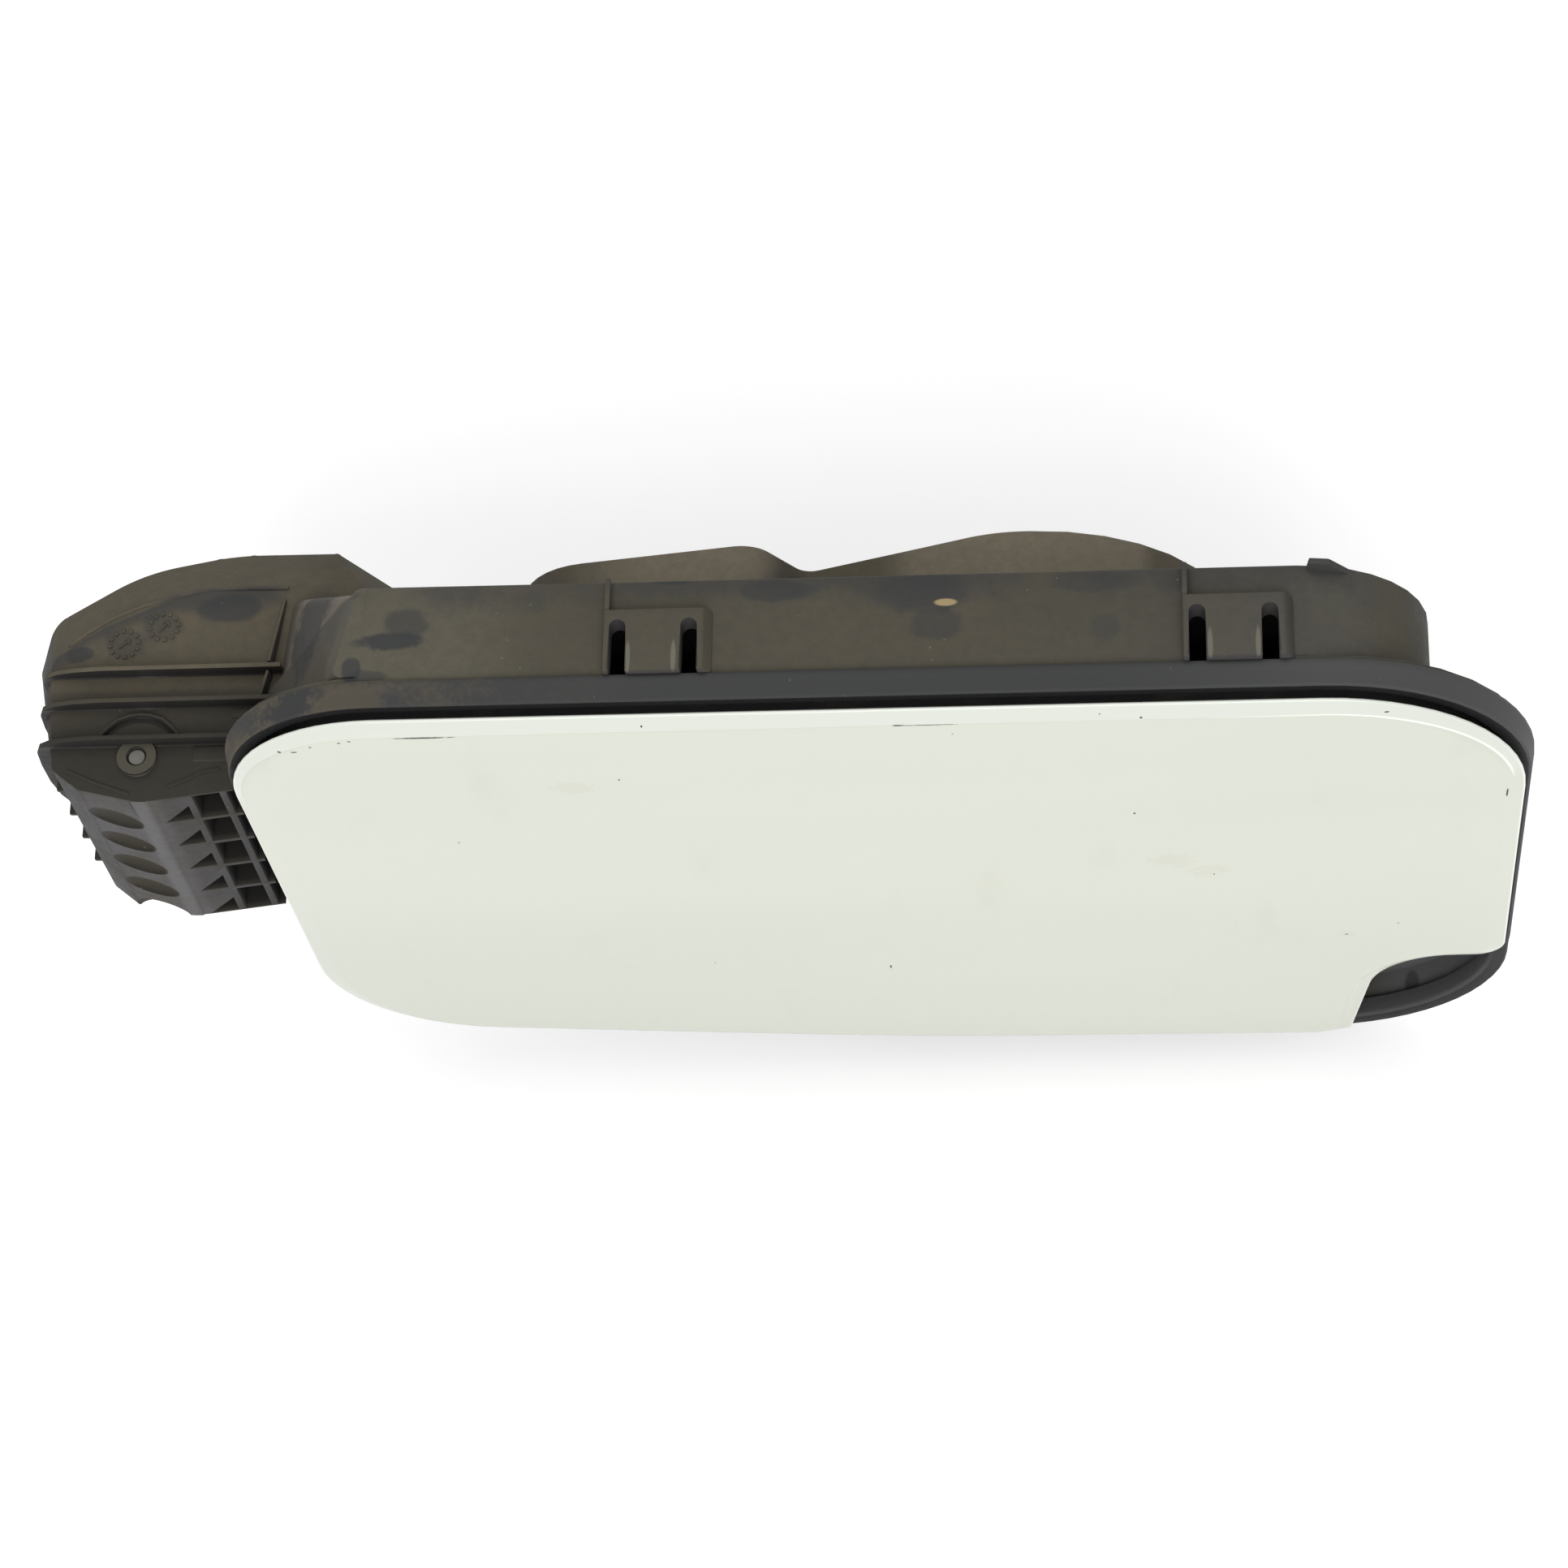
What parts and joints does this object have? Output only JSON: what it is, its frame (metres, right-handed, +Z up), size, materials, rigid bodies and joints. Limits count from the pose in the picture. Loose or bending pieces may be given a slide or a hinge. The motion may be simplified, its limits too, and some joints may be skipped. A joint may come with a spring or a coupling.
{
  "type": "car fuel door",
  "caption": "Painted outer flap on a gooseneck hinge, with its moulded filler housing, seal, finger notch and pots for a fuel neck and an additive neck",
  "frame": {"origin": "Middle of the body opening, in the plane of the flap's rolled edge.", "axes": "+X runs along the flap away from its hinge, +Y into the vehicle, +Z up; the painted face looks along -Y."},
  "size_m": [0.3149, 0.0697, 0.1914],
  "materials": {
    "housing_plastic": "dusty matt",
    "seal_rubber": "matt",
    "pin_steel": "dull",
    "gasket_rubber": "matt",
    "black_plastic": "matt",
    "spring_steel": "satin",
    "flap_paint": "gloss",
    "bush_plastic": "satin"
  },
  "bodies": {
    "housing": {"housing": "housing_plastic", "seal_lip": "seal_rubber", "hinge_pin": "pin_steel", "fuel_neck_gasket": "gasket_rubber", "additive_neck_gasket": "gasket_rubber", "lock_bush": "black_plastic", "hold_open_spring": "spring_steel"},
    "flap": {"flap_skin": "flap_paint", "flap_carrier": "black_plastic", "arm_bush_upper": "bush_plastic", "arm_bush_lower": "bush_plastic", "latch_striker": "black_plastic", "bump_stop_upper": "gasket_rubber", "bump_stop_lower": "gasket_rubber", "bump_stop_hinge_upper": "gasket_rubber", "bump_stop_hinge_lower": "gasket_rubber"}
  },
  "joints": [
    {"name": "flap_hinge", "type": "hinge", "parent": "housing", "child": "flap", "pos_m": [-0.1562, 0.0144, 0.0124], "axis": [0, 0, -1], "range_deg": [0, 95], "deforming": ["hold_open_spring"]}
  ]
}
